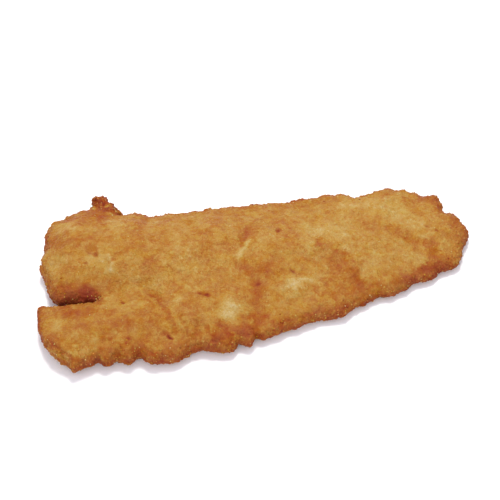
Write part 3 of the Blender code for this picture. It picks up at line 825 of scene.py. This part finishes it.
def keepInBox(mesh, margin=0.7 * mm):  # eases back what comes too near the top and sides of the box
    places = np.empty(len(mesh.vertices) * 3)
    mesh.vertices.foreach_get("co", places)
    places = places.reshape(-1, 3)
    places[:, 2] = np.maximum(places[:, 2], cadLow[2])
    for axis, way in ((0, -1), (0, 1), (1, -1), (1, 1), (2, -1)):  # way is inwards from that side
        room = cadHigh[axis] - places[:, axis] if way < 0 else places[:, axis] - cadLow[axis]
        eased = margin * np.exp(np.minimum(room / margin, 1) - 1)
        places[:, axis] += way * np.where(room < margin, eased - room, 0)
    mesh.vertices.foreach_set("co", places.ravel())
    mesh.update()


skin = makeSkin()
print("skin faces", len(skin.data.polygons))
paintSkin(skin)
runTree(skin, makeReliefTree(), {**relief, "Material": batterMaterial})
thinSkin(skin)
keepInBox(skin.data)
skin.data.shade_smooth()
print("crust triangles", sum(len(face.vertices) - 2 for face in skin.data.polygons))


# Both kinds sit mostly on the rim, and wholly there with a rim share of 1.
bubbles = {
    "Density": 60000.0, "Rim Share": 0.94, "Smallest": 0.2 * mm, "Largest": 0.45 * mm,
    "Flatness": 0.7, "Seed": 3, "Lump Size": 0.7 * mm, "Lumpiness": 0.0,
    "Toast": 0.22, "Palest": -0.18, "Darkest": 0.16,
}
crumbs = {
    "Density": 30000.0, "Rim Share": 0.998, "Smallest": 0.35 * mm, "Largest": 0.8 * mm,
    "Flatness": 0.6, "Seed": 11, "Lump Size": 0.7 * mm, "Lumpiness": 0.7 * mm,
    "Toast": 0.56, "Palest": -0.18, "Darkest": 0.16,
}


def makeScatterTree():
    tree = bpy.data.node_groups.new("crustScatter", "GeometryNodeTree")
    addInput(tree, "Geometry", "NodeSocketGeometry")
    for name, value in crumbs.items():
        addInput(tree, name, "NodeSocketInt" if name == "Seed" else "NodeSocketFloat", value)
    addInput(tree, "Material", "NodeSocketMaterial")
    addOutput(tree, "Geometry", "NodeSocketGeometry")
    given = addNode(tree, "NodeGroupInput").outputs
    topShare = calc(tree, "SUBTRACT", 1.0, given["Rim Share"])
    onTop = calc(tree, "MULTIPLY", topShare, calc(tree, "SUBTRACT", 1.0, named(tree, "under")))
    share = calc(tree, "MULTIPLY_ADD", named(tree, "rim"), given["Rim Share"], onTop)
    density = calc(tree, "MULTIPLY", share, given["Density"])
    scattered = addNode(
        tree, "GeometryNodeDistributePointsOnFaces",
        {"Mesh": given["Geometry"], "Density": density, "Seed": given["Seed"]},
        distribute_method="RANDOM",
    )
    ball = addNode(tree, "GeometryNodeMeshUVSphere", {"Radius": 1.0, "Segments": 8, "Rings": 6})
    size = addNode(
        tree, "FunctionNodeRandomValue",
        {2: given["Smallest"], 3: given["Largest"], "Seed": given["Seed"]}, data_type="FLOAT",
    )
    high = calc(tree, "MULTIPLY", size.outputs[1], given["Flatness"])
    scale = addNode(tree, "ShaderNodeCombineXYZ", {0: size.outputs[1], 1: size.outputs[1], 2: high})
    placed = addNode(tree, "GeometryNodeInstanceOnPoints", {
        "Points": scattered.outputs["Points"], "Instance": ball.outputs[0],
        "Rotation": scattered.outputs["Rotation"], "Scale": scale.outputs[0],
    })
    inputs = {2: given["Palest"], 3: given["Darkest"], "Seed": 7}
    tone = addNode(tree, "FunctionNodeRandomValue", inputs, data_type="FLOAT")
    toast = calc(tree, "ADD", given["Toast"], tone.outputs[1])
    toned = addNode(
        tree, "GeometryNodeStoreNamedAttribute",
        {"Geometry": placed.outputs[0], "Name": "toast", "Value": toast},
        data_type="FLOAT", domain="INSTANCE",
    )
    real = addNode(tree, "GeometryNodeRealizeInstances", {"Geometry": toned.outputs[0]})
    where = addNode(tree, "GeometryNodeInputPosition").outputs[0]
    lump = cloudNoise(tree, where, given["Lump Size"], 0.0)
    away = calc(tree, "MULTIPLY", calc(tree, "SUBTRACT", lump, 0.5), given["Lumpiness"])
    moved = addNode(
        tree, "GeometryNodeSetPosition", {"Geometry": real.outputs[0], "Offset": alongNormal(tree, away)}
    )
    smooth = addNode(tree, "GeometryNodeSetShadeSmooth", {"Geometry": moved.outputs[0]})
    finished = addNode(
        tree, "GeometryNodeSetMaterial", {"Geometry": smooth.outputs[0], "Material": given["Material"]}
    )
    addNode(tree, "NodeGroupOutput", {"Geometry": finished.outputs[0]})
    return tree


def scatterOnCrust(name, tree, values):
    piece = finishedObject(name, skin.data.copy())
    runTree(piece, tree, values)
    keepInBox(piece.data)
    print(name, len(piece.data.polygons))
    return piece


scatterTree = makeScatterTree()
bubblePiece = scatterOnCrust("bubbles", scatterTree, {**bubbles, "Material": bubbleMaterial})
crumbPiece = scatterOnCrust("crumbs", scatterTree, {**crumbs, "Material": batterMaterial})

for piece in (skin, bubblePiece, crumbPiece):
    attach(piece, "root")
    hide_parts(fillet)


stageLook = {
    "floorSide": 4.0, "floorDrop": 0.05 * mm,
    "floor": (246, 246, 249), "floorHaze": 2,  # the haze lifts each colour by this
    "world": 0.80, "worldColor": (0.985, 0.965, 1.03, 1.0),
    # azimuth, elevation, distance, power, size and colour
    "key": (176, 64, 1.2, 12.1, 0.45, (1.03, 1.03, 0.95)),
    "fill": (-20, 28, 1.6, 9.0, 1.0, (1.0, 1.0, 1.0)),
}
camera = {
    "lens": 100.0,
    "sensor": 36.0,
    "distance": 0.8063,
    "azimuth": -8.6,
    "elevation": 45.9,
    "target": (-3.2 * mm, 7.7 * mm, 10 * mm),
}


def makeFloor():
    half = stageLook["floorSide"] / 2
    corners = [(x * half, y * half, 0) for x, y in ((-1, -1), (1, -1), (1, 1), (-1, 1))]
    mesh = bpy.data.meshes.new("floor")
    mesh.from_pydata(corners, [], [(0, 1, 2, 3)])
    floor = finishedObject("floor", mesh)
    floor.location.z = -stageLook["floorDrop"]
    material, tree, shader, where = startMaterial("paleFloor")
    haze = addNode(tree, "ShaderNodeTexNoise", {"Vector": where, "Scale": 3.0})
    ramp = addNode(tree, "ShaderNodeValToRGB", {"Fac": haze.outputs[0]})
    dark, light = ramp.color_ramp.elements
    dark.color = linear(*stageLook["floor"])
    light.color = linear(*(min(255, value + stageLook["floorHaze"]) for value in stageLook["floor"]))
    tree.links.new(ramp.outputs["Color"], shader.inputs["Base Color"])
    shader.inputs["Roughness"].default_value = 0.8
    shader.inputs["Specular IOR Level"].default_value = 0.1
    mesh.materials.append(material)


def directionTo(azimuth, elevation):  # azimuth 0 is the front, 90 the tail end's side
    a, e = math.radians(azimuth), math.radians(elevation)
    return Vector((math.sin(a) * math.cos(e), -math.cos(a) * math.cos(e), math.sin(e)))


def lookFrom(obj, target, direction, distance):
    obj.location = Vector(target) + direction * distance
    obj.rotation_euler = (-direction).to_track_quat("-Z", "Y").to_euler()


def makeLight(name, azimuth, elevation, distance, power, size, color):
    lamp = bpy.data.lights.new(name, "AREA")
    lamp.shape, lamp.size, lamp.energy, lamp.color = "DISK", size, power, color
    holder = bpy.data.objects.new(name, lamp)
    bpy.context.scene.collection.objects.link(holder)
    lookFrom(holder, (0, 0, 0), directionTo(azimuth, elevation), distance)


def makeWorld():
    world = bpy.data.worlds.new("studio")
    world.use_nodes = True
    background = world.node_tree.nodes["Background"]
    background.inputs["Color"].default_value = stageLook["worldColor"]
    background.inputs["Strength"].default_value = stageLook["world"]
    bpy.context.scene.world = world


def makeCamera():
    lens = bpy.data.cameras.new("camera")
    lens.lens, lens.sensor_width = camera["lens"], camera["sensor"]
    holder = bpy.data.objects.new("camera", lens)
    bpy.context.scene.collection.objects.link(holder)
    direction = directionTo(camera["azimuth"], camera["elevation"])
    lookFrom(holder, camera["target"], direction, camera["distance"])
    bpy.context.scene.camera = holder


makeFloor()
makeWorld()
makeLight("key", *stageLook["key"])
makeLight("fill", *stageLook["fill"])
makeCamera()
bpy.context.scene.view_settings.view_transform = "Standard"
print("stage ready")
